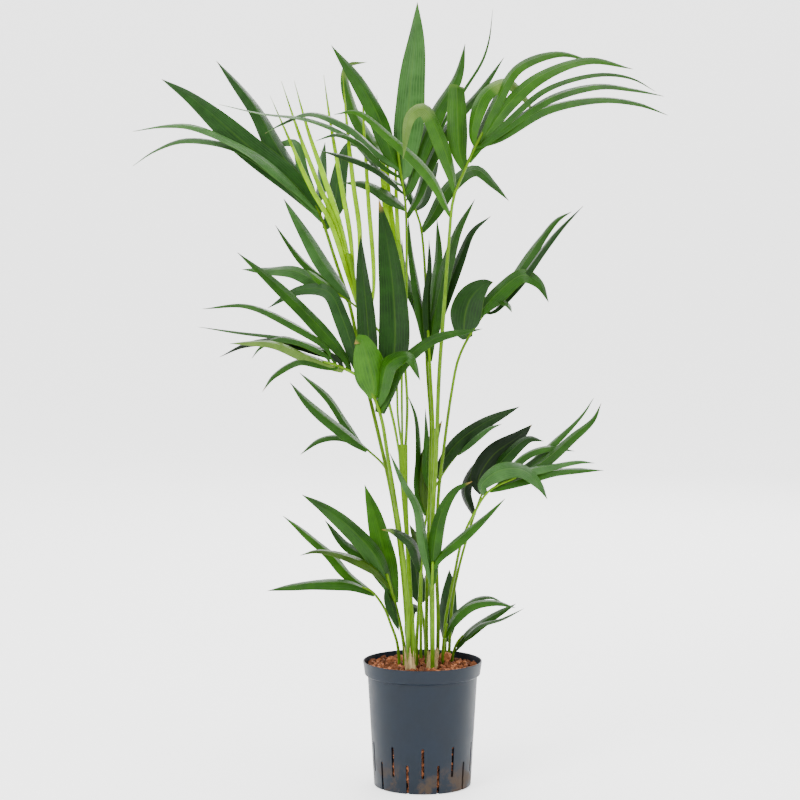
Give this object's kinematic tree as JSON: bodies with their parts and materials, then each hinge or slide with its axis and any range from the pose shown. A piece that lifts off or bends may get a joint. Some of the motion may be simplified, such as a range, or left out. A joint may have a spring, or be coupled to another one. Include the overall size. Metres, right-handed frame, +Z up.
{
  "type": "potted palm",
  "caption": "Young kentia palm with arching feather fronds and upright folded spears, standing in expanded clay in a round slotted plastic culture pot.",
  "frame": {"origin": "middle of the pot's flat underside, on the pot's axis", "axes": "+Z up along the pot's axis; -Y is the front; +X is to the right seen from the front"},
  "size_m": [0.7823, 0.4076, 1.178],
  "materials": {
    "pot_plastic": "slate grey moulded plastic, low sheen",
    "fired_clay": "rough fired clay granules",
    "palm_leaf": "glossy leaf with fine lengthwise veins, paler below; yellow-green stalks",
    "young_leaf": "folded young leaf, satin yellow-green",
    "dry_fibre": "dry torn leaf-sheath fibre"
  },
  "bodies": {
    "root": {"pot": "pot_plastic", "clay_granules": "fired_clay", "stem_left": "palm_leaf", "fibre_left": "dry_fibre", "fibre_centre": "dry_fibre", "frond_high_left": "palm_leaf", "spear_left": "young_leaf", "spear_centre": "young_leaf", "frond_top_centre": "palm_leaf", "frond_centre_back": "palm_leaf", "frond_centre_fan": "palm_leaf", "frond_high_right": "palm_leaf", "frond_right_mid": "palm_leaf", "frond_left_front": "palm_leaf", "frond_left_mid": "palm_leaf", "frond_left_low_mid": "palm_leaf", "frond_centre_low": "palm_leaf", "frond_right_low_front": "palm_leaf", "frond_right_low_back": "palm_leaf", "frond_front_low": "palm_leaf", "frond_front_low_left": "palm_leaf", "frond_left_low": "palm_leaf", "frond_left_lowest": "palm_leaf", "frond_right_lowest": "palm_leaf", "frond_right_low_small": "palm_leaf", "frond_right_inner": "palm_leaf", "frond_low_back": "palm_leaf"}
  },
  "joints": []
}
